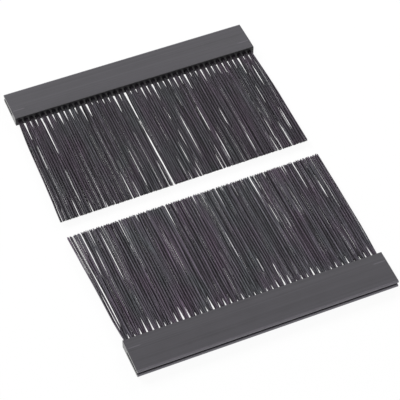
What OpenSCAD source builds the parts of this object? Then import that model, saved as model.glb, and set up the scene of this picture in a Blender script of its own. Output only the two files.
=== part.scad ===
// A pair of push-on brush strips for the cable opening of a server rack panel.
// Each strip is a moulded holder with a row of bristle tufts, and the two rows
// of tips face each other across the gap that the cables pass through.
// X runs along the strips, Y across the opening, Z up from the underside.

/* [Strips] */
// Length of each strip, end to end
strip_length = 218; // [120:1:400]
// Clear width between the two rows of bristle tips
cable_gap = 17.5; // [8:0.5:60]

/* [Holder] */
// Depth of a holder, from its rear mouth to its bristle face
holder_depth = 31; // [24:0.5:50]
// Depth of the solid block that the tufts are set in
block_depth = 9; // [8.5:0.1:14]
// Height of a holder at its bristle face
block_height = 8.6; // [7.5:0.1:14]
// Height of a holder at its rear mouth
mouth_height = 7.5; // [6.5:0.1:12]
// Height of the panel slot at its inner end
slot_height = 2.8; // [1.6:0.1:3.6]
// Height of the panel slot between the lips, where it pinches the sheet
slot_pinch = 2.4; // [1.2:0.1:3.2]
// Radius of the long edges of the bristle face
edge_radius = 0.5; // [0.2:0.1:1.5]

/* [Tufts] */
// Distance from one tuft to the next
tuft_pitch = 5; // [4.6:0.1:9]
// Least distance from an end of the holder to the centre of the last tuft
end_margin = 4; // [2.5:0.1:10]
// Diameter of the drilled hole that holds a tuft
hole_d = 3.6; // [3:0.1:4]
// Depth of the drilled hole
hole_depth = 6.5; // [5.5:0.1:7.5]
// Gap between a tuft or its anchor and the wall of its hole
hole_clearance = 0.05; // [0.02:0.01:0.1]
// Depth inside the hole at which the filaments come apart
bundle_recess = 1; // [0.5:0.1:2]

/* [Bristles] */
// Free length of the bristles at the middle of a strip
bristle_length = 114; // [40:1:200]
// How much longer the bristles are at one end of a strip than at the other
trim_skew = 2.6; // [0:0.1:6]
// Diameter of a filament
filament_d = 0.5; // [0.3:0.02:0.56]
// Least gap between filaments that lie side by side
filament_gap = 0.1; // [0.04:0.01:0.3]
// Sideways lean of a layer at its tips, the other way from the next layer's
layer_sway = 2.6; // [0:0.1:5]
// How far the layers spread apart in height, as a share of their pitch
layer_spread = 1.3; // [1:0.05:2]
// Width of the partings that open in the row of tips
parting_width = 1.4; // [0:0.1:1.6]
// Number of tufts from one parting to the next
parting_period = 9; // [7:1:20]
// Difference in length between the longest and the shortest neighbours
ragged_trim = 0.6; // [0:0.1:2]
// How far a filament's tip may stray to either side
tip_stray = 0.1; // [0:0.01:0.15]

/* [Anchors] */
// Thickness of the flat metal anchor that a tuft is folded over
anchor_t = 0.5; // [0.3:0.05:0.8]
// Length of an anchor along its hole
anchor_length = 2.2; // [1.5:0.1:3]
// Thickness of the folded filaments behind an anchor
fold_t = 0.6; // [0.4:0.1:1]

/* [Hidden] */
$fn = 24;
cut = 1;
half_turn = 180;

// Holder
mid_z = block_height / 2;
leg_t = (mouth_height - slot_pinch) / 2;
lip_y = leg_t / 2 - holder_depth;
slot_end_y = -block_depth - slot_height / 2;

// Row of tufts
tuft_count = floor((strip_length - 2 * end_margin) / tuft_pitch) + 1;
row_length = (tuft_count - 1) * tuft_pitch;
node_limit = 28;
tufts_per_node = ceil(tuft_count / node_limit);
tuft_nodes = floor(tuft_count / tufts_per_node);

// Bundle in the hole, and the anchor near its folded end
bundle_d = hole_d - 2 * hole_clearance;
bundle_end = hole_depth - hole_clearance;
anchor_y = fold_t + hole_clearance + anchor_length / 2 - bundle_end;

// Filaments of one tuft, in layers across the round bundle
layer_count = 4;
layer_reach = (bundle_d - filament_d) / 2 - hole_clearance;
layer_pitch = 2 * layer_reach / layer_count;
root_pitch = filament_d + filament_gap;
tip_pitch = root_pitch + 2 * tip_stray + parting_width / parting_period;
filament_start = bundle_recess + filament_d;
stray_seed = 1000;
trim_seed = 2000;

// Each strip is turned and moved so that its tips face the middle
strip_y = bristle_length + cable_gap / 2;

function near_tuft_node(g) = str("near_tufts_", g);
function far_tuft_node(g) = str("far_tufts_", g);

// Place of tuft i along the strip
function tuft_x(i) = i * tuft_pitch - row_length / 2;

// Height of layer k above the middle of the bundle
function layer_z(k) = (k - (layer_count - 1) / 2) * layer_pitch;

// Half the width of layer k inside the round bundle
function layer_half(k) = sqrt(pow(layer_reach, 2) - pow(layer_z(k), 2));

// Number of filaments that fit side by side in layer k, in the hole and at the tips
function layer_filaments(k) =
    min(floor(2 * layer_half(k) / root_pitch) + 1, floor(tuft_pitch / tip_pitch));

// Sideways place of filament j of layer k, in the hole and at the tip
function root_x(k, j) = (2 * j / (layer_filaments(k) - 1) - 1) * layer_half(k);
function tip_x(k, j) = ((j + 0.5) / layer_filaments(k) - 0.5) * tuft_pitch;

// Alternate layers lean to alternate sides, so that they cross over the gaps
function sway(k) = (k % 2 == 0 ? 1 : -1) * layer_sway;

// Tufts close up a little at a time and then part
function parting(i) = parting_width * (0.5 - (i % parting_period) / parting_period);

// Free length of the bristles at x
function trim_length(x) = bristle_length + trim_skew * x / strip_length;

// Cross-section of a holder: a solid block and two legs that close on the panel
module holder_section() {
    difference() {
        union() {
            polygon([
                [0, edge_radius],
                [0, block_height - edge_radius],
                [-edge_radius, block_height],
                [-block_depth, block_height],
                [lip_y, mid_z + mouth_height / 2],
                [lip_y, mid_z - mouth_height / 2],
                [-block_depth, 0],
                [-edge_radius, 0]
            ]);
            for (z = [edge_radius, block_height - edge_radius])
                translate([-edge_radius, z])
                    circle(r = edge_radius);
            for (side = [-1, 1])
                translate([lip_y, mid_z + side * (slot_pinch + leg_t) / 2])
                    circle(d = leg_t);
        }
        panel_slot_section();
    }
}

// The slot, with a round inner end and a slight pinch towards the lips
module panel_slot_section() {
    translate([slot_end_y, mid_z])
        circle(d = slot_height);
    polygon([
        [slot_end_y, mid_z + slot_height / 2],
        [lip_y, mid_z + slot_pinch / 2],
        [-holder_depth - cut, mid_z + slot_pinch / 2],
        [-holder_depth - cut, mid_z - slot_pinch / 2],
        [lip_y, mid_z - slot_pinch / 2],
        [slot_end_y, mid_z - slot_height / 2]
    ]);
}

// One blind hole, drilled into the bristle face
module tuft_hole() {
    rotate([90, 0, 0])
        translate([0, 0, -cut])
            cylinder(d = hole_d, h = hole_depth + cut);
}

module holder() {
    color("#58585c")
        difference() {
            translate([-strip_length / 2, 0, 0])
                rotate([90, 0, 90])
                    linear_extrude(height = strip_length)
                        holder_section();
            for (i = [0 : tuft_count - 1])
                translate([tuft_x(i), 0, mid_z])
                    tuft_hole();
        }
}

// Flat anchor across a hole, in the fold of its tuft
module anchor(grow = 0) {
    translate([0, anchor_y, 0])
        cube([bundle_d + 2 * grow, anchor_length + 2 * grow, anchor_t + 2 * grow], center = true);
}

module tuft_anchors() {
    color("#b8a46c")
        for (i = [0 : tuft_count - 1])
            translate([tuft_x(i), 0, mid_z])
                anchor();
}

// A straight filament from one point to another
module filament(from, to) {
    run = to - from;
    translate(from)
        rotate([0, acos(run.z / norm(run)), atan2(run.y, run.x)])
            cylinder(d = filament_d, h = norm(run));
}

// Filaments packed into the hole, folded over the anchor
module bundle() {
    difference() {
        rotate([90, 0, 0])
            translate([0, 0, bundle_recess])
                cylinder(d = bundle_d, h = bundle_end - bundle_recess);
        anchor(hole_clearance);
    }
}

// Tuft i: the bundle in its hole and the layers of filaments that fan out of it
module tuft(i) {
    bundle();
    for (k = [0 : layer_count - 1]) {
        count = layer_filaments(k);
        stray = rands(-tip_stray, tip_stray, count, stray_seed + i * layer_count + k);
        trim = rands(-ragged_trim / 2, ragged_trim / 2, count, trim_seed + i * layer_count + k);
        for (j = [0 : count - 1])
            filament(
                [root_x(k, j), -filament_start, layer_z(k)],
                [
                    tip_x(k, j) + sway(k) + parting(i) + stray[j],
                    trim_length(tuft_x(i)) + trim[j],
                    layer_z(k) * layer_spread
                ]
            );
    }
}

// Tufts of group g, counted from 1: the last group takes what is left over as well
module tufts(g) {
    first = (g - 1) * tufts_per_node;
    last = (g == tuft_nodes ? tuft_count : first + tufts_per_node) - 1;
    color("#454348")
        for (i = [first : last])
            translate([tuft_x(i), 0, mid_z])
                tuft(i);
}

// The two places: bristles towards +Y from the near side, and towards -Y from the far side
module near_side() {
    translate([0, -strip_y, 0])
        children();
}

module far_side() {
    rotate([0, 0, half_turn])
        near_side()
            children();
}

module near_holder() near_side() holder();
module far_holder() far_side() holder();
module near_tuft_anchors() near_side() tuft_anchors();
module far_tuft_anchors() far_side() tuft_anchors();
module near_tufts(g) near_side() tufts(g);
module far_tufts(g) far_side() tufts(g);

near_holder();
far_holder();
near_tuft_anchors();
far_tuft_anchors();
for (g = [1 : tuft_nodes]) near_tufts(g);
for (g = [1 : tuft_nodes]) far_tufts(g);
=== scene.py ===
import math
from collections import namedtuple

import bpy
import numpy as np
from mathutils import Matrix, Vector


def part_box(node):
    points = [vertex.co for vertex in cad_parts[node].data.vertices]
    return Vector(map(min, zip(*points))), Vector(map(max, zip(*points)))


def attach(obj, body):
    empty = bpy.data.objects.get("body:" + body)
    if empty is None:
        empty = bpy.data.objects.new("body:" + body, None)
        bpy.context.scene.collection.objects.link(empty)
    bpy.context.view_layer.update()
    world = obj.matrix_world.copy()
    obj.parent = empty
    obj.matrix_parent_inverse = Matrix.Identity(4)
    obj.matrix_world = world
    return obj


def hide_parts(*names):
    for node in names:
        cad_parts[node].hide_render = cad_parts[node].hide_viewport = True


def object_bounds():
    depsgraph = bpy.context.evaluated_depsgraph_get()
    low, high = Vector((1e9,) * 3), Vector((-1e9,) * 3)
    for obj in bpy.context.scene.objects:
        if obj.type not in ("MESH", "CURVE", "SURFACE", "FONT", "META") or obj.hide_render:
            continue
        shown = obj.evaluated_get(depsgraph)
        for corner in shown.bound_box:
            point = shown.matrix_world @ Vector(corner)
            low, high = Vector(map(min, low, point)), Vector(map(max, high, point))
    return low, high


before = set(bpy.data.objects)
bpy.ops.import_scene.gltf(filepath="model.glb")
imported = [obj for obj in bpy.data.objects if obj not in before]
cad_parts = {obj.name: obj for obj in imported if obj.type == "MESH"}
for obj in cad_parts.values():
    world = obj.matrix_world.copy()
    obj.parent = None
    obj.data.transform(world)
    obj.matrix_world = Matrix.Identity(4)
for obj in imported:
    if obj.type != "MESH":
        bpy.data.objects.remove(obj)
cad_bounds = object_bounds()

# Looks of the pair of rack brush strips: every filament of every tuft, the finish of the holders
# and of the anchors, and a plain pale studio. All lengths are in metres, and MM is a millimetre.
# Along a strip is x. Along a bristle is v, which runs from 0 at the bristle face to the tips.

MM = 0.001
BODY = "root"
SEED = {"near": 15, "far": 26}
PLANE_DECIMALS = 5  # to which the corners of one plane agree

# Filaments and their meshes
FILAMENT_D = 0.40 * MM
PACK_PITCH = 0.405 * MM  # between neighbours packed in a hole
PACK_PLAY = 0.02 * MM
SIDES = 5  # of each tube
SHARP_ANGLE = 80  # degrees, above which an edge isn't shaded smooth
# The shares of its length at which a leg has a ring of corners, closer together near the holder
STATIONS = (0, 0.02, 0.045, 0.08, 0.13, 0.2, 0.29, 0.39, 0.49, 0.59, 0.69, 0.79, 0.89, 1)
SUNK_POINTS = 2  # of each leg inside its hole
FOLD_POINTS = 2  # of the turn behind the anchor, between the two legs
MAP_MARGIN = 0.1  # beside each tube on the flat map, as a share of its column
CAP_MIDDLE = 0.25  # of an end cap on the flat map, in steps from the end of the column
CAP_REACH = 0.2

# How the filaments of a tuft open out and lie. Two values are those of the upper and of the lower
# leg of each folded filament, except where the comment says what they are.
LANE_WIDTH = 1.2  # the width that a tuft fills at its tips, as a share of the pitch
LANE_PLAY = (0.07 * MM, 0.05 * MM)
RANK_PLAY = 0.1 * MM  # filaments that lie this close in the hole may cross
CLOSING_LENGTH = {"near": 28 * MM, "far": 37 * MM}  # from the holder to where each lies in its lane
CLOSING_SPREAD = 0.4  # of its logarithm
CLOSING_RANGE = (10 * MM, 60 * MM)  # limits
CLOSING_PLAY = (0.92, 1.12)  # limits, from filament to filament, as shares of it
CLUMP_PITCH = (1.8 * MM, 2.4 * MM)  # limits
CLUMP_PULL = (0.5, 0)  # towards the middle of the clump
CLUMP_HOLD = (1.0, 0.1)  # how far a leg leans and waves along with its clump
CLUMP_LEAN = 0.1 * MM  # sideways, at the tips
CLUMP_RISE = (1.2 * MM, 0.3 * MM)  # of the middle of a clump over its edges
FILAMENT_LEAN = (0.1 * MM, 0.15 * MM)
WAVE_HEIGHT = 0.14 * MM
WAVES = (5, 11)  # radians from the holder to the tips, of the two waves that add up
STRAY_SHARE = (0.075, 0)  # of the filaments, which lie across their neighbours
STRAY_LEAN = 2.2 * MM
STRAY_RISE = 0.5 * MM
STRAY_MARGIN = 12 * MM  # from the ends of the row, within which the strays straighten up
FLATTENING = 0.42  # a tuft gets this much thinner as it opens out
HEIGHT_PLAY = 0.12 * MM
DROOP = 0.7 * MM
TRIM_PLAY = 0.35 * MM
SHORT_SHARE = 0.012  # of the filaments, which end up to SHORT_BY before the others
SHORT_BY = 5 * MM

# Tone of the filaments: 0 is the dark colour of the bristles, and 1 and above the pale one
CLUMP_TONE = 0.5  # how much of a filament's shade is that of its clump
SHADE_STRETCH = 3  # clumps over which the shades even out
SHADE_CHANGE = 0.5  # how much of a shade changes from one station to the next
TONE_SKEW = 1.35  # most filaments are dark and a few are pale
LEG_PAINTED_SHADE = (1.0, 0.2)  # painted shade: the lower legs are darker, as the lower layer of the sheet lies in shade
# painted light: a level for each strip's bristles, the near ones painted paler than the far ones
STRIP_PAINTED_LIGHT = {"near": 1.5, "far": 1.0}
ROOT_PAINTED_SHADOW = 0.2  # painted shadow of the holder on the roots: the share of the tone left at the holder
ROOT_SHADOW_REACH = {"near": 1 * MM, "far": 9 * MM}  # from the holder to where the painted shadow ends

# How far the bristles lean over at each end of a strip, and over how wide a stretch
Splay = namedtuple("Splay", "left right left_reach right_reach")
SPLAY = {
    "near": Splay(4.0 * MM, 0.9 * MM, 7.5 * MM, 11 * MM),
    "far": Splay(2.8 * MM, 0.2 * MM, 9 * MM, 11 * MM),
}
SPLAY_CURVE = 1.3  # power of the way to the tips
ROW_LEAN = {"near": 0.0, "far": -0.6 * MM}

# Partings: the place along the strip, the start and the end along the bristles and the widest
# width, all in millimetres, and the share of filaments that stay across it. A parting is open at
# the holder where it starts at 0, and at the tips where it ends past them.
Parting = namedtuple("Parting", "x start end width crossing")
PARTING_REACH = 4 * MM  # how far to each side the bristles are pushed together
PARTING_LIMIT = 3 * PARTING_REACH  # beyond this they aren't pushed at all
PARTING_LEAN = -0.33  # sideways, for each millimetre of height
PARTING_TOUCH = 0.15 * MM
HELD_LENGTH = 6 * MM  # from the holder to where a parting has its full width
FEW, SOME = 0.03, 0.3  # the two shares that are used
PARTINGS = {
    "far": [
        Parting(-102.5, 0, 30, 0.6, FEW),
        Parting(-101, 32, 60, 0.45, FEW),
        Parting(-87.5, 0, 52, 0.85, FEW),
        Parting(-88.5, 63, 92, 0.42, FEW),
        Parting(-107, 96, 117, 0.4, SOME),
        Parting(-94, 92, 117, 0.45, FEW),
        Parting(-82.5, 104, 117, 0.35, FEW),
        Parting(-72.5, 0, 17, 0.4, FEW),
        Parting(-70, 104, 117, 0.5, FEW),
        Parting(-52.5, 0, 24, 0.65, FEW),
        Parting(-47.5, 0, 18, 0.3, FEW),
        Parting(-42, 95, 116, 0.4, FEW),
        Parting(-32.5, 60, 114, 0.35, FEW),
        Parting(-22.5, 0, 29, 0.4, FEW),
        Parting(-12.5, 0, 62, 0.95, FEW),
        Parting(-12.5, 42, 118, 1.8, FEW),
        Parting(-14.5, 55, 118, 0.5, SOME),
        Parting(-16, 88, 118, 0.4, FEW),
        Parting(8.5, 78, 95, 0.25, FEW),
        Parting(12.5, 0, 25, 0.4, FEW),
        Parting(12.5, 34, 54, 0.3, FEW),
        Parting(13.5, 56, 80, 0.4, FEW),
        Parting(13, 95, 116, 0.3, FEW),
        Parting(21, 49, 90, 0.3, FEW),
        Parting(32, 97, 116, 0.32, FEW),
        Parting(38, 43, 70, 0.32, FEW),
        Parting(41.5, 78, 112, 0.37, FEW),
        Parting(42.5, 0, 24, 0.4, FEW),
        Parting(54.5, 54, 73, 0.3, FEW),
        Parting(64.5, 78, 105, 0.37, FEW),
        Parting(77.5, 0, 22, 0.4, FEW),
        Parting(81.5, 94, 116, 0.77, SOME),
        Parting(85, 60, 102, 0.37, FEW),
        Parting(92.5, 0, 30, 0.6, FEW),
        Parting(93.5, 35, 62, 0.37, FEW),
        Parting(94.5, 88, 114, 0.5, SOME),
        Parting(101, 17, 43, 0.3, FEW),
        Parting(102, 76, 97, 0.37, FEW),
    ],
    "near": [
        Parting(-106, 12, 45, 0.3, SOME),
        Parting(-104.6, 20, 118, 0.6, FEW),
        Parting(-103.3, 60, 118, 0.45, SOME),
        Parting(-102.1, 76, 118, 0.35, SOME),
        Parting(-99.5, 70, 118, 0.4, FEW),
        Parting(-95, 66, 90, 0.32, FEW),
        Parting(-93, 98, 118, 0.5, FEW),
        Parting(-85.5, 63, 104, 0.12, FEW),
        Parting(-57.5, 0, 16, 0.42, FEW),
        Parting(-53.5, 103, 118, 0.35, FEW),
        Parting(-32.5, 0, 20, 0.45, FEW),
        Parting(-28, 98, 118, 0.3, FEW),
        Parting(-4, 106, 118, 0.35, FEW),
        Parting(5.5, 36, 69, 0.26, FEW),
        Parting(18, 15, 38, 0.3, FEW),
        Parting(21.5, 108, 118, 0.3, FEW),
        Parting(27.5, 0, 32, 1.1, FEW),
        Parting(47, 97, 118, 0.5, FEW),
        Parting(49.5, 60, 81, 0.28, FEW),
        Parting(50.5, 98, 118, 0.35, FEW),
        Parting(52.5, 0, 14, 0.5, FEW),
        Parting(56.5, 47, 68, 0.28, FEW),
        Parting(59, 103, 118, 0.4, FEW),
        Parting(77, 104, 118, 0.4, FEW),
        Parting(85.5, 80, 118, 0.6, FEW),
        Parting(96.5, 75, 91, 0.4, FEW),
    ],
}

# Small partings at random places that open towards the tips, with limits in millimetres
TIP_NICKS = {"near": 7, "far": 6}
NICK_START = (86, 108)
NICK_END = 118
NICK_WIDTH = (0.1, 0.35)

# Noise. A grain has its own scale along x, y and z, per metre.
NOISE_ROUGHNESS = 0.55
NOISE_LOW, NOISE_HIGH = 0.3, 0.7  # between which noise mostly lies

# Bristle nylon. A pair of levels is for the low and for the high values of a noise.
BRISTLE_TINTS = ((1.14, 0.87, 1.2), (0.94, 0.99, 1.1))  # violet and green
HUE_GRAIN = (70, 30, 70)
SCUFF_GRAIN = (2500, 60, 2500)
BRISTLE_DARK = 0.006
BRISTLE_PALE = 0.25
BRISTLE_SCUFFED = 0.09
SCUFF_SHOWS = (0, 0.15)
BRISTLE_ROUGHNESS = (0.36, 0.52)
BRISTLE_SPECULAR = 0.18

# Holder plastic. Its marks have a grey level each, and are placed from the ends and faces.
HOLDER_TINT = (1.0, 0.94, 1.1)
LINE_GRAIN = (4, 900, 900)
MOTTLE_GRAIN = (60, 90, 90)
SKIN_GRAIN = (3500, 3500, 3500)
SAW_GRAIN = (200, 260, 5200)
LINED_GREYS = (0.047, 0.073)
MOTTLED_GREY = 0.085
MOTTLE_SHOWS = (0, 0.35)
HOLDER_ROUGHNESS = (0.44, 0.56)
HOLDER_SPECULAR = 0.4
EDGE_FADE = 0.2 * MM
WITNESS_DEPTH = 9 * MM  # from the bristle face, where the legs part from the block
LIP_REACH, LIP_FADE = 1.2 * MM, 0.3 * MM  # the lips of the mouth, painted pale as a highlight, and a little glossier
# painted highlight grey of the lips, and how much glossier they are
LIP_HIGHLIGHT_GREY, LIP_POLISH = 0.16, 0.25
FACE_REACH, FACE_SHADE_GREY = 0.3 * MM, 0.016  # the bristle face, painted dark as shade between the holes
SLOT_REACH, SLOT_SHADE_GREY, SLOT_DULLNESS = 1.4 * MM, 0.008, 0.4  # the inside of the panel slot, painted dark as shade, and duller
STROKE_REACH, STROKE_FADE, STROKE_GREY = 0.2 * MM, 0.5 * MM, 0.12  # pale, along the witness line
STROKE_FROM_END = 6 * MM
STROKE_HALF_LENGTH, STROKE_END_FADE = 4 * MM, 2 * MM
SAWN_REACH, SAWN_AND_REFLECTION_GREYS, SAWN_POLISH = 0.02 * MM, (0.16, 0.26), 0.1  # the end faces, pale from the saw and painted paler still as a reflection of the floor
SKIN_RELIEF, SAWN_RELIEF = 0.4, 2  # next to that of the lines
RELIEF_STRENGTH, RELIEF_DEPTH = 0.25, 0.05 * MM

# Anchor brass
DRAWN_GRAIN = (400, 6000, 6000)
BRASS_COLOURS = ((0.56, 0.42, 0.18, 1), (0.72, 0.58, 0.3, 1))
BRASS_ROUGHNESS = (0.3, 0.5)

# View
VIEW_AZIMUTH = -22.94  # degrees, 0 looks along +Y
VIEW_ELEVATION = 50.1
VIEW_DISTANCE = 1.447
VIEW_AIM = (6.1 * MM, -8.0 * MM)  # right of and above the middle of the pair, across the view
LENS, SENSOR = 160.0, 36.0  # millimetres

# Studio: the floor is mostly a glow, and gives the object a little more than the camera sees of it
FLOOR_HALF = 3.0
FLOOR_DROP = 0.05 * MM  # below the object
FLOOR_GREY = 0.8
FLOOR_ROUGHNESS = 0.9
GLOW_SHARE = 0.88
GLOW_GIVEN, GLOW_SHOWN = 1.2, 1.06
SKY_GIVEN, SKY_SHOWN = 0.25, 1.0
Softbox = namedtuple("Softbox", "place size power")
SOFTBOXES = {
    "key": Softbox((-0.9, 2.1, 1.6), (1.6, 1.1), 45),
    "side": Softbox((1.9, 1.9, 1.6), (1.2, 1.1), 21),
    "fill": Softbox((0.5, -1.7, 1.25), (0.9, 0.6), 5),
}


# ---- The frame ----

class Strip:
    """One strip as the frame has it: its holder, its holes and its tuft nodes."""

    def __init__(self, side):
        low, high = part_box(side + "_holder")
        self.side = side
        self.forward = 1 if low.y + high.y < 0 else -1
        self.face_y = high.y if self.forward > 0 else low.y
        self.half_length = (high.x - low.x) / 2
        self.depth = high.y - low.y
        self.mid_z = (low.z + high.z) / 2
        self.nodes = [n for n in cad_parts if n.startswith(side + "_tufts_")]
        self.read_anchors(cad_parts[side + "_tuft_anchors"])
        self.read_tufts()

    def read_anchors(self, anchors):
        """Each anchor is a flat block across its hole, so its two ends give its tuft's place."""
        corners = np.array([v.co for v in anchors.data.vertices])
        ends = np.unique(corners[:, 0].round(PLANE_DECIMALS)).reshape(-1, 2)
        self.tuft_x = ends.mean(axis=1)
        self.bundle_r = float(np.diff(ends[0])[0]) / 2
        self.anchor_v = sorted(self.v_of(y) for y in (corners[:, 1].min(), corners[:, 1].max()))
        self.anchor_top = corners[:, 2].max() - self.mid_z
        self.pitch = float(np.diff(self.tuft_x).mean())

    def read_tufts(self):
        """Which tufts each node holds, how deep they sit, and the line that the tips are trimmed to."""
        boxes = [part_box(n) for n in self.nodes]
        middles = np.array([(low.x + high.x) / 2 for low, high in boxes])
        ends = np.array([sorted((self.v_of(low.y), self.v_of(high.y))) for low, high in boxes])
        nearest = np.abs(self.tuft_x[:, None] - middles[None, :]).argmin(axis=1)
        self.tufts_of = {n: np.flatnonzero(nearest == i) for i, n in enumerate(self.nodes)}
        self.bundle_v = ends[:, 0].min()
        self.tip_line = np.polyfit(middles, ends[:, 1], 1)

    def v_of(self, y):
        return self.forward * (y - self.face_y)

    def y_of(self, v):
        return self.face_y + self.forward * v


# ---- Filaments ----

def packed_places(radius):
    """(x, z) of the filaments in the upper half of a round bundle, in rows that nest."""
    reach = radius - FILAMENT_D / 2
    row_pitch = PACK_PITCH * math.sin(math.pi / 3)
    places = []
    for row in range(round(reach / row_pitch)):
        z = (row + 0.5) * row_pitch
        half = math.sqrt(reach ** 2 - z ** 2)
        count = int(2 * half / PACK_PITCH) + 1
        places += [(x, z) for x in np.linspace(-half, half, count)]
    return np.array(places)


def smooth_step(t):
    t = np.clip(t, 0, 1)
    return t * t * (3 - 2 * t)


def root_places(strip, rng):
    """(tuft, filament, leg) arrays of where each leg of each folded filament leaves its hole."""
    places = packed_places(strip.bundle_r)
    shape = (len(strip.tuft_x), len(places), 2)
    play = PACK_PLAY * rng.standard_normal((2,) + shape)
    x = places[None, :, None, 0] + play[0]
    z = places[None, :, None, 1] * np.array([1, -1]) + play[1]
    return x, z


def clump_middles(strip, rng):
    """Places along the strip that the loose filaments gather at."""
    room = 2 * (strip.half_length + strip.pitch)
    steps = rng.uniform(*CLUMP_PITCH, size=int(room / CLUMP_PITCH[0]))
    middles = np.cumsum(steps) - room / 2
    return middles[middles < room / 2]


def free_places(strip, root_x, rng):
    """Where each leg lies at its tip, before it leans, which clump it joins, its share of the pitch,
    and how near it is to the edge of its clump."""
    loose = root_x + RANK_PLAY * rng.standard_normal(root_x.shape)
    rank = loose.argsort(axis=1).argsort(axis=1)
    share = (rank + 0.5) / root_x.shape[1] - 0.5
    lane = strip.tuft_x[:, None, None] + share * strip.pitch * LANE_WIDTH
    lane = lane + np.array(LANE_PLAY) * rng.standard_normal(lane.shape)
    middles = clump_middles(strip, rng)
    clump = np.abs(lane[..., None] - middles).argmin(axis=-1)
    aside = np.clip((lane - middles[clump]) / (CLUMP_PITCH[1] / 2), -1, 1)
    lane = lane + np.array(CLUMP_PULL) * (middles[clump] - lane)
    return lane, clump, share, aside ** 2


def closing_lengths(strip, share, rng):
    """The length over which each leg reaches its lane, from those of the gaps beside its tuft."""
    ratios = np.exp(CLOSING_SPREAD * rng.standard_normal(len(strip.tuft_x) + 1))
    gaps = np.clip(CLOSING_LENGTH[strip.side] * ratios, *CLOSING_RANGE)
    left, right = gaps[:-1, None, None], gaps[1:, None, None]
    length = left + (right - left) * smooth_step(share + 0.5)
    return length * rng.uniform(*CLOSING_PLAY, size=share.shape)


def trimmed_lengths(strip, lane, rng):
    """The length of each leg: most end close to the trim line, and a few are much shorter."""
    full = np.polyval(strip.tip_line, lane) - rng.uniform(0, 2 * TRIM_PLAY, size=lane.shape)
    short = rng.random(lane.shape) < SHORT_SHARE
    return full - np.where(short, SHORT_BY * rng.random(lane.shape), 0)


def strays(strip, lane, rng):
    """Which legs lie across their neighbours, and how far to the side their tips are."""
    stray = rng.random(lane.shape) < np.array(STRAY_SHARE)
    lean = STRAY_LEAN * rng.standard_normal(lane.shape)
    return stray, lean * smooth_step((strip.half_length - np.abs(lane)) / STRAY_MARGIN)


def sideways(strip, lane, clump, reach, rng):
    """How far each leg is beside its lane, station by station, and which legs are strays."""
    lean = CLUMP_LEAN * rng.standard_normal(clump.max() + 1)[clump]
    phases = 2 * math.pi * rng.random((len(WAVES), clump.max() + 1))
    wave = sum(np.sin(turn * reach + phase[clump][..., None]) for turn, phase in zip(WAVES, phases))
    along = np.array(CLUMP_HOLD)[:, None] * (lean[..., None] * reach + WAVE_HEIGHT * wave)
    alone = np.array(FILAMENT_LEAN) * rng.standard_normal(lane.shape)
    stray, astray = strays(strip, lane, rng.spawn(1)[0])
    alone = np.where(stray, astray, alone)
    return along + alone[..., None] * reach, stray


def opening_profile(parting, v, full):
    """How wide a parting is at v, from 0 to 1: it tapers at each end that isn't open."""
    t = np.clip((v - parting.start * MM) / ((parting.end - parting.start) * MM), 0, 1)
    if parting.start <= 0:
        return np.where(v < parting.end * MM, 1 - t ** 3, 0)
    if parting.end * MM > full:
        return np.sqrt(t)
    return np.sqrt(np.maximum(1 - (2 * t - 1) ** 2, 0))


def tip_nicks(strip, rng):
    """Small partings here and there that open towards the tips."""
    nicks = []
    for _ in range(TIP_NICKS[strip.side]):
        x = rng.uniform(-1, 1) * strip.half_length / MM
        nicks.append(Parting(x, rng.uniform(*NICK_START), NICK_END, rng.uniform(*NICK_WIDTH), FEW))
    return nicks


def part(x, v, z, parting, full, rng):
    """Pushes the filaments that lie across a parting to its two sides."""
    middle = parting.x * MM + PARTING_LEAN * z
    half = parting.width * MM / 2 * opening_profile(parting, v, full) + FILAMENT_D / 2
    inside = (v > parting.start * MM - PARTING_TOUCH) & (v < parting.end * MM)
    half = np.where(inside, half, 0)
    weight = inside / np.maximum(inside.sum(axis=-1, keepdims=True), 1)
    side = np.sign(((x - middle) * weight).sum(axis=-1, keepdims=True))
    apart = side * (x - middle)
    open_here = half > FILAMENT_D / 2
    push = np.where(apart > 0, half * np.exp(-np.abs(apart) / PARTING_REACH), half - apart)
    push = np.where(open_here & (apart < PARTING_LIMIT), push, 0)
    stays = rng.random(side.shape) < parting.crossing
    return x + np.where(stays, 0, side * push) * smooth_step(v / HELD_LENGTH)


def splayed(strip, x, reach):
    """Sideways lean of the whole row, which grows towards each end of the strip."""
    splay = SPLAY[strip.side]
    left = -splay.left * np.exp(-(x + strip.half_length) / splay.left_reach)
    right = splay.right * np.exp((x - strip.half_length) / splay.right_reach)
    return (left + right) * reach ** SPLAY_CURVE + ROW_LEAN[strip.side] * reach


def changing_shades(shape, rng):
    """Random shades from 0 to 1 that change along each leg or clump, station by station."""
    steady = rng.random(shape)[..., None]
    changing = rng.random(shape + (len(STATIONS),))
    return steady + SHADE_CHANGE * (changing - steady)


def even_shades(count, rng):
    """(clump, station) shades, without a drift from one stretch of the row to the next."""
    shades = changing_shades((count,), rng)
    window = np.ones(SHADE_STRETCH) / SHADE_STRETCH
    drift = np.stack([np.convolve(s, window, mode="same") for s in shades.T], axis=1)
    return np.clip(0.5 + shades - drift, 0, 1)


def leg_tones(strip, v, clump, edge, rng):
    """The tone of each leg, station by station: random shades, with painted shade on the lower legs,
    towards the edges of a clump and near the holder, and a painted light level for each strip."""
    clump_tone = smooth_step(even_shades(clump.max() + 1, rng))[clump]
    tone = CLUMP_TONE * clump_tone + (1 - CLUMP_TONE) * changing_shades(clump.shape, rng)
    # painted light level of the strip, and painted shade on the lower legs and on the edges of a clump,
    # which lie lower
    leg = STRIP_PAINTED_LIGHT[strip.side] * np.array(LEG_PAINTED_SHADE) * (1 - edge)
    tone = tone ** TONE_SKEW * leg[..., None]
    # painted shadow of the holder, which darkens the roots
    return tone * (ROOT_PAINTED_SHADOW + (1 - ROOT_PAINTED_SHADOW) * smooth_step(v / ROOT_SHADOW_REACH[strip.side]))


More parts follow.
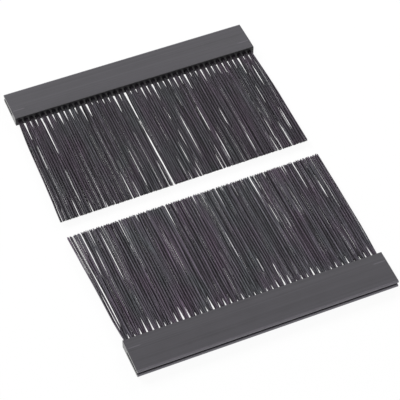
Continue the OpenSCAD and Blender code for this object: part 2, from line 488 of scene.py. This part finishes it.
def leg_paths(strip, rng):
    """Points along each leg, as (tuft, filament, leg, station, xyz) with y still v, and their tones."""
    root_x, root_z = root_places(strip, rng)
    lane, clump, share, edge = free_places(strip, root_x, rng)
    closing = closing_lengths(strip, share, rng)
    full = trimmed_lengths(strip, lane, rng)
    reach = np.array(STATIONS)
    v = full[..., None] * reach

    opened = 1 - (1 - np.clip(v / closing[..., None], 0, 1)) ** 2
    x = (strip.tuft_x[:, None, None] + root_x)[..., None] * (1 - opened) + lane[..., None] * opened
    beside, stray = sideways(strip, lane, clump, reach, rng)
    x = x + opened * beside
    z = root_z[..., None] * (1 - FLATTENING * opened)
    rise = np.array(CLUMP_RISE) * (0.5 - edge) + STRAY_RISE * stray
    z = z + opened * rise[..., None] + reach * HEIGHT_PLAY * rng.standard_normal(lane.shape)[..., None]

    for parting in PARTINGS[strip.side] + tip_nicks(strip, rng):
        x = part(x, v, z, parting, full.max(), rng)
    x = x + splayed(strip, x, reach)
    z = z - DROOP * reach ** 2
    return np.stack([x, v, z], axis=-1), leg_tones(strip, v, clump, edge, rng)


def folded_tones(tones):
    """The tones along the joined legs, as folded_paths joins them: the part in the hole is dark."""
    hidden = np.zeros(tones.shape[:2] + (2 * SUNK_POINTS + FOLD_POINTS,))
    return np.concatenate([tones[:, :, 0, ::-1], hidden, tones[:, :, 1]], axis=2)


def sunk_points(strip, legs):
    """Two points of each leg in its hole: at the neck, and beside the rear end of the anchor."""
    back, front = strip.anchor_v
    x, _, z = np.moveaxis(legs[..., 0, :], -1, 0)
    clear = strip.anchor_top + FILAMENT_D / 2
    held_z = np.sign(z) * (clear + np.abs(z) * (1 - clear / strip.bundle_r))
    neck = np.stack([x, np.full_like(z, front / 2), z], axis=-1)
    held = np.stack([x, np.full_like(z, back), held_z], axis=-1)
    return neck, held


def fold_points(strip, held):
    """Points of the half turn behind the anchor, from the upper leg to the lower."""
    middle = (held[:, :, 0] + held[:, :, 1]) / 2
    half = (held[:, :, 0] - held[:, :, 1]) / 2
    depth = strip.anchor_v[0] - strip.bundle_v - FILAMENT_D / 2
    points = []
    for k in range(FOLD_POINTS):
        angle = math.pi * (k + 1) / (FOLD_POINTS + 1)
        point = middle + half * math.cos(angle)
        point[..., 1] -= depth * math.sin(angle)
        points.append(point[:, :, None])
    return points


def folded_paths(strip, legs):
    """Joins the two legs of each filament round the anchor: from a tip, into the hole and out again."""
    neck, held = sunk_points(strip, legs)
    upper = [legs[:, :, 0, ::-1], neck[:, :, 0, None], held[:, :, 0, None]]
    lower = [held[:, :, 1, None], neck[:, :, 1, None], legs[:, :, 1]]
    return np.concatenate(upper + fold_points(strip, held) + lower, axis=2)


def in_frame(strip, paths):
    """Paths in the shared frame: v becomes y, and z no longer starts at the middle of the holes."""
    placed = paths.copy()
    placed[..., 1] = strip.y_of(paths[..., 1])
    placed[..., 2] = strip.mid_z + paths[..., 2]
    return placed


# ---- Meshes ----

def unit(vectors):
    return vectors / np.linalg.norm(vectors, axis=-1, keepdims=True)


def circle_points(count):
    """(cosine, sine) of evenly spaced angles round a circle."""
    angles = 2 * math.pi * np.arange(count) / count
    return np.cos(angles), np.sin(angles)


def ring_points(paths, radius):
    """(tube, station, side, xyz): a ring across each point of each path."""
    along = unit(np.gradient(paths, axis=1))
    across = unit(np.array([1.0, 0, 0]) - along[..., :1] * along)
    other = np.cross(along, across)
    cosine, sine = circle_points(SIDES)
    turn = cosine[:, None] * across[:, :, None] + sine[:, None] * other[:, :, None]
    return paths[:, :, None] + radius * turn


def tube_faces(tubes, stations):
    """Corner indices of the walls, four to a face, and of the two end caps, SIDES to a face."""
    index = np.arange(tubes * stations * SIDES).reshape(tubes, stations, SIDES)
    here, there = index[:, :-1], index[:, 1:]
    walls = np.stack([here, np.roll(here, -1, axis=2), np.roll(there, -1, axis=2), there], axis=-1)
    caps = np.stack([index[:, 0, ::-1], index[:, -1]], axis=1)
    return walls.reshape(-1, 4), caps.reshape(-1, SIDES)


def wall_map(tubes, stations):
    """Corners of the walls on the flat map: a column for each tube, from one tip up to the other."""
    column = (np.arange(tubes) / tubes)[:, None, None]
    side = np.array([MAP_MARGIN, 1 - MAP_MARGIN, 1 - MAP_MARGIN, MAP_MARGIN]) / tubes
    height = np.arange(stations - 1)[None, :, None] / stations + 0.5 / stations
    step = np.array([0, 0, 1, 1]) / stations
    shape = (tubes, stations - 1, SIDES, 4)
    across = np.broadcast_to((column + side)[:, :, None], shape)
    up = np.broadcast_to((height + step)[:, :, None], shape)
    return np.stack([across, up], axis=-1).reshape(-1, 2)


def cap_map(tubes, stations):
    """Corners of the end caps on the flat map: a spot at each end of each tube's column."""
    cosine, sine = circle_points(SIDES)
    middle = (np.arange(tubes) + 0.5) / tubes
    ends = np.array([CAP_MIDDLE, stations - CAP_MIDDLE]) / stations
    caps = np.zeros((tubes, 2, SIDES, 2))
    caps[..., 0] = middle[:, None, None] + CAP_REACH / tubes * cosine
    caps[..., 1] = ends[None, :, None] + CAP_REACH / stations * sine
    return caps.reshape(-1, 2)


def tube_mesh(name, paths):
    """A mesh with a closed tube along each path, and its flat map."""
    tubes, stations = paths.shape[:2]
    points = ring_points(paths, FILAMENT_D / 2)
    walls, caps = tube_faces(tubes, stations)
    corners = np.concatenate([walls.ravel(), caps.ravel()])
    sizes = np.concatenate([np.full(len(walls), 4), np.full(len(caps), SIDES)])
    mesh = bpy.data.meshes.new(name)
    mesh.vertices.add(tubes * stations * SIDES)
    mesh.vertices.foreach_set("co", points.astype(np.float32).ravel())
    mesh.loops.add(len(corners))
    mesh.loops.foreach_set("vertex_index", corners.astype(np.int32))
    mesh.polygons.add(len(sizes))
    mesh.polygons.foreach_set("loop_start", (np.cumsum(sizes) - sizes).astype(np.int32))
    mesh.polygons.foreach_set("use_smooth", np.full(len(sizes), True))
    mesh.update(calc_edges=True)
    mesh.set_sharp_from_angle(angle=math.radians(SHARP_ANGLE))
    flat = np.concatenate([wall_map(tubes, stations), cap_map(tubes, stations)])
    mesh.uv_layers.new(name="OFBake").uv.foreach_set("vector", flat.astype(np.float32).ravel())
    return mesh


def filament_object(name, paths, tones):
    """One object for all these filaments. The attribute tone is the shade of each ring of points."""
    mesh = tube_mesh(name, paths)
    tone = mesh.attributes.new("tone", "FLOAT", "POINT")
    tone.data.foreach_set("value", np.repeat(tones, SIDES).astype(np.float32))
    mesh.validate()
    piece = bpy.data.objects.new(name, mesh)
    bpy.context.scene.collection.objects.link(piece)
    return piece


def dress_tufts(strip, material):
    """A piece of bristles for each tuft node, which it replaces."""
    rng = np.random.default_rng(SEED[strip.side])
    legs, tones = leg_paths(strip, rng)
    paths = in_frame(strip, folded_paths(strip, legs))
    shades = folded_tones(tones)
    for node in strip.nodes:
        tufts = strip.tufts_of[node]
        chosen = paths[tufts].reshape(-1, *paths.shape[-2:])
        piece = filament_object(node.replace("tufts", "bristles"), chosen, shades[tufts].ravel())
        piece.data.materials.append(material)
        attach(piece, BODY)
        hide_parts(node)


# ---- Materials ----

def add(tree, kind, inputs=None, **settings):
    """Adds a node. Each input is a number, a colour or another node's output."""
    node = tree.nodes.new("ShaderNode" + kind)
    for key, value in settings.items():
        setattr(node, key, value)
    for key, value in (inputs or {}).items():
        if isinstance(value, bpy.types.NodeSocket):
            tree.links.new(value, node.inputs[key])
        else:
            node.inputs[key].default_value = value
    return node


def math_node(tree, operation, a, b=0.0):
    return add(tree, "Math", {0: a, 1: b}, operation=operation).outputs[0]


def times(tree, a, b):
    return math_node(tree, "MULTIPLY", a, b)


def mix_colour(tree, factor, a, b):
    """From colour a to colour b. A Mix node's colours are its inputs 6 and 7 and its output 2."""
    return add(tree, "Mix", {0: factor, 6: a, 7: b}, data_type="RGBA").outputs[2]


def grain(tree, scale, detail=3.0):
    """Noise over the object's own coordinates, with its own scale along each axis."""
    place = add(tree, "TexCoord").outputs["Object"]
    stretched = add(tree, "Mapping", {"Vector": place, "Scale": scale}).outputs[0]
    inputs = {"Vector": stretched, "Scale": 1.0, "Detail": detail, "Roughness": NOISE_ROUGHNESS}
    return add(tree, "TexNoise", inputs).outputs[0]


def ramp(tree, value, start, end, low, high):
    """Runs from low to high as value runs from start to end, and is level beyond them."""
    inputs = {"Value": value, "From Min": start, "From Max": end, "To Min": low, "To Max": high}
    return add(tree, "MapRange", inputs, clamp=True).outputs[0]


def spread(tree, noise, low=0, high=1):
    """Noise, stretched to run from low to high."""
    return ramp(tree, noise, NOISE_LOW, NOISE_HIGH, low, high)


def band(tree, value, middle, half_width, fade=EDGE_FADE):
    """1 within half_width of middle, and 0 beyond it, with a soft edge."""
    away = math_node(tree, "ABSOLUTE", math_node(tree, "SUBTRACT", value, middle))
    return ramp(tree, away, half_width, half_width + fade, 1, 0)


def new_material(name):
    material = bpy.data.materials.new(name)
    material.use_nodes = True
    return material, material.node_tree, material.node_tree.nodes["Principled BSDF"]


def grey(level, tint=(1, 1, 1)):
    return (level * tint[0], level * tint[1], level * tint[2], 1)


def bristle_material():
    """Drawn nylon: each filament has its own shade from its tone, which also carries painted shade and
    a painted light level for each strip, with faint scuffs along it.
    """
    material, tree, shader = new_material("bristle_nylon")
    tone = add(tree, "Attribute", attribute_name="tone").outputs["Fac"]
    scuffs = grain(tree, SCUFF_GRAIN)
    hue = spread(tree, grain(tree, HUE_GRAIN, detail=1))
    dark = mix_colour(tree, hue, *[grey(BRISTLE_DARK, tint) for tint in BRISTLE_TINTS])
    pale = mix_colour(tree, hue, *[grey(BRISTLE_PALE, tint) for tint in BRISTLE_TINTS])
    shade = mix_colour(tree, tone, dark, pale)
    scuffed = grey(BRISTLE_SCUFFED, BRISTLE_TINTS[0])
    worn = mix_colour(tree, spread(tree, scuffs, *SCUFF_SHOWS), shade, scuffed)
    tree.links.new(worn, shader.inputs["Base Color"])
    tree.links.new(spread(tree, scuffs, *BRISTLE_ROUGHNESS), shader.inputs["Roughness"])
    shader.inputs["Specular IOR Level"].default_value = BRISTLE_SPECULAR
    return material


Marks = namedtuple("Marks", "lips face slot strokes sawn")


def holder_marks(tree, strip):
    """Masks over a holder: each is 1 where its mark is, and 0 elsewhere."""
    place = add(tree, "TexCoord").outputs["Object"]
    x, y, z = add(tree, "SeparateXYZ", {0: place}).outputs
    from_middle = math_node(tree, "ABSOLUTE", x)
    # a painted highlight along the lips of the mouth
    lips = band(tree, y, strip.y_of(-strip.depth), LIP_REACH, LIP_FADE)
    # painted shade on the bristle face
    face = band(tree, y, strip.face_y, FACE_REACH)
    # painted shade in the inside of the panel slot
    slot_half = (strip.depth - WITNESS_DEPTH) / 2
    slot = band(tree, y, strip.y_of(-WITNESS_DEPTH - slot_half), slot_half)
    slot = times(tree, band(tree, z, strip.mid_z, SLOT_REACH), math_node(tree, "SUBTRACT", slot, lips))
    strokes = band(tree, y, strip.y_of(-WITNESS_DEPTH), STROKE_REACH, STROKE_FADE)
    stroke_x = strip.half_length - STROKE_FROM_END
    near_ends = band(tree, from_middle, stroke_x, STROKE_HALF_LENGTH, STROKE_END_FADE)
    # the sawn end faces, pale partly as a painted reflection
    sawn = math_node(tree, "GREATER_THAN", from_middle, strip.half_length - SAWN_REACH)
    return Marks(lips, face, slot, times(tree, strokes, near_ends), sawn)


def holder_colour(tree, marks, lines, mottle, saw):
    """Dark grey, with faint lines and a faint mottle, under the marks: painted shade on the bristle
    face and in the slot, a painted highlight on the lips, pale strokes, and sawn ends that are pale
    partly as a painted reflection.
    """
    lined = [grey(level, HOLDER_TINT) for level in LINED_GREYS]
    colour = mix_colour(tree, spread(tree, lines), *lined)
    coats = [
        (spread(tree, mottle, *MOTTLE_SHOWS), MOTTLED_GREY),
        (marks.lips, LIP_HIGHLIGHT_GREY),
        (marks.face, FACE_SHADE_GREY),
        (marks.slot, SLOT_SHADE_GREY),
        (marks.strokes, STROKE_GREY),
    ]
    for mask, level in coats:
        colour = mix_colour(tree, mask, colour, grey(level, HOLDER_TINT))
    cut = mix_colour(tree, spread(tree, saw), *[grey(level) for level in SAWN_AND_REFLECTION_GREYS])
    return mix_colour(tree, marks.sawn, colour, cut)


def holder_roughness(tree, marks, mottle):
    """The sawn ends and the rubbed lips shine a little more, and the inside of the slot less."""
    rough = spread(tree, mottle, *HOLDER_ROUGHNESS)
    changes = [(marks.sawn, -SAWN_POLISH), (marks.lips, -LIP_POLISH), (marks.slot, SLOT_DULLNESS)]
    for mask, change in changes:
        rough = math_node(tree, "ADD", rough, times(tree, mask, change))
    return rough


def holder_relief(tree, marks, lines, saw):
    """Bump of the lines, of a fine skin and, on the ends, of the saw."""
    skin = grain(tree, SKIN_GRAIN, detail=2)
    relief = math_node(tree, "ADD", times(tree, skin, SKIN_RELIEF), lines)
    relief = math_node(tree, "ADD", relief, times(tree, saw, times(tree, marks.sawn, SAWN_RELIEF)))
    inputs = {"Height": relief, "Strength": RELIEF_STRENGTH, "Distance": RELIEF_DEPTH}
    return add(tree, "Bump", inputs).outputs[0]


def holder_material(strip):
    """Matt grey plastic, with faint lines along it, saw-cut ends that are pale partly as a painted
    reflection, painted shade on the bristle face and in the slot, and a painted highlight on the lips.
    """
    material, tree, shader = new_material(strip.side + "_holder_plastic")
    lines = grain(tree, LINE_GRAIN, detail=4)
    mottle = grain(tree, MOTTLE_GRAIN, detail=5)
    saw = grain(tree, SAW_GRAIN)
    marks = holder_marks(tree, strip)
    tree.links.new(holder_colour(tree, marks, lines, mottle, saw), shader.inputs["Base Color"])
    tree.links.new(holder_roughness(tree, marks, mottle), shader.inputs["Roughness"])
    tree.links.new(holder_relief(tree, marks, lines, saw), shader.inputs["Normal"])
    shader.inputs["Specular IOR Level"].default_value = HOLDER_SPECULAR
    return material


def anchor_material():
    """Flat drawn brass wire, a little dull."""
    material, tree, shader = new_material("anchor_brass")
    drawn = grain(tree, DRAWN_GRAIN)
    colour = mix_colour(tree, spread(tree, drawn), *BRASS_COLOURS)
    tree.links.new(colour, shader.inputs["Base Color"])
    tree.links.new(spread(tree, drawn, *BRASS_ROUGHNESS), shader.inputs["Roughness"])
    shader.inputs["Metallic"].default_value = 1.0
    return material


def give(node, material):
    """A CAD node keeps its shape and gets this material in every slot."""
    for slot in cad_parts[node].material_slots:
        slot.material = material


# ---- Studio ----

def seen_directly(tree):
    """1 for what the camera, a reflection or a clear material sees, and 0 for the light it gives."""
    path = add(tree, "LightPath").outputs
    seen = math_node(tree, "MAXIMUM", path["Is Camera Ray"], path["Is Glossy Ray"])
    return math_node(tree, "MAXIMUM", seen, path["Is Transmission Ray"])


def floor_material():
    """Pale and matt, under a glow that doesn't hide the shadow."""
    material, tree, shader = new_material("floor_white")
    shader.inputs["Base Color"].default_value = grey(FLOOR_GREY)
    shader.inputs["Roughness"].default_value = FLOOR_ROUGHNESS
    shader.inputs["Specular IOR Level"].default_value = 0.0
    strength = ramp(tree, seen_directly(tree), 0, 1, GLOW_GIVEN, GLOW_SHOWN)
    glow = add(tree, "Emission", {"Color": grey(1.0), "Strength": strength})
    mixed = add(tree, "MixShader", {0: GLOW_SHARE, 1: shader.outputs[0], 2: glow.outputs[0]})
    tree.links.new(mixed.outputs[0], tree.nodes["Material Output"].inputs["Surface"])
    return material


def studio_floor():
    """A wide pale floor that shows white and still takes the object's shadow."""
    far, z = FLOOR_HALF, cad_bounds[0].z - FLOOR_DROP
    mesh = bpy.data.meshes.new("floor")
    corners = [(-far, -far, z), (far, -far, z), (far, far, z), (-far, far, z)]
    mesh.from_pydata(corners, [], [(0, 1, 2, 3)])
    floor = bpy.data.objects.new("floor", mesh)
    bpy.context.scene.collection.objects.link(floor)
    mesh.materials.append(floor_material())


def studio_world():
    world = bpy.data.worlds.new("studio")
    world.use_nodes = True
    tree = world.node_tree
    level = mix_colour(tree, seen_directly(tree), grey(SKY_GIVEN), grey(SKY_SHOWN))
    tree.links.new(level, tree.nodes["Background"].inputs["Color"])
    bpy.context.scene.world = world


def studio_softbox(name, softbox):
    """An area lamp that faces the origin, where the middle of the object is."""
    lamp = bpy.data.lights.new(name, "AREA")
    lamp.shape = "RECTANGLE"
    lamp.size, lamp.size_y = softbox.size
    lamp.energy = softbox.power
    stand = bpy.data.objects.new(name, lamp)
    stand.location = softbox.place
    stand.rotation_euler = (-Vector(softbox.place)).to_track_quat("-Z", "Y").to_euler()
    bpy.context.scene.collection.objects.link(stand)


def studio_camera():
    azimuth, elevation = math.radians(VIEW_AZIMUTH), math.radians(VIEW_ELEVATION)
    level = math.cos(elevation)
    back = Vector((math.sin(azimuth) * level, -math.cos(azimuth) * level, math.sin(elevation)))
    right = (-back).cross(Vector((0, 0, 1))).normalized()
    up = right.cross(-back)
    middle = (cad_bounds[0] + cad_bounds[1]) / 2
    middle.z = cad_bounds[0].z
    data = bpy.data.cameras.new("camera")
    data.lens = LENS
    data.sensor_width = SENSOR
    camera = bpy.data.objects.new("camera", data)
    camera.location = middle + right * VIEW_AIM[0] + up * VIEW_AIM[1] + back * VIEW_DISTANCE
    camera.rotation_euler = (-back).to_track_quat("-Z", "Y").to_euler()
    bpy.context.scene.collection.objects.link(camera)
    bpy.context.scene.camera = camera


# ---- The scene ----

bristle = bristle_material()
anchor = anchor_material()
for strip in (Strip("near"), Strip("far")):
    dress_tufts(strip, bristle)
    give(strip.side + "_holder", holder_material(strip))
    give(strip.side + "_tuft_anchors", anchor)

studio_floor()
studio_world()
for name, softbox in SOFTBOXES.items():
    studio_softbox(name, softbox)
studio_camera()
bpy.context.scene.view_settings.view_transform = "Standard"
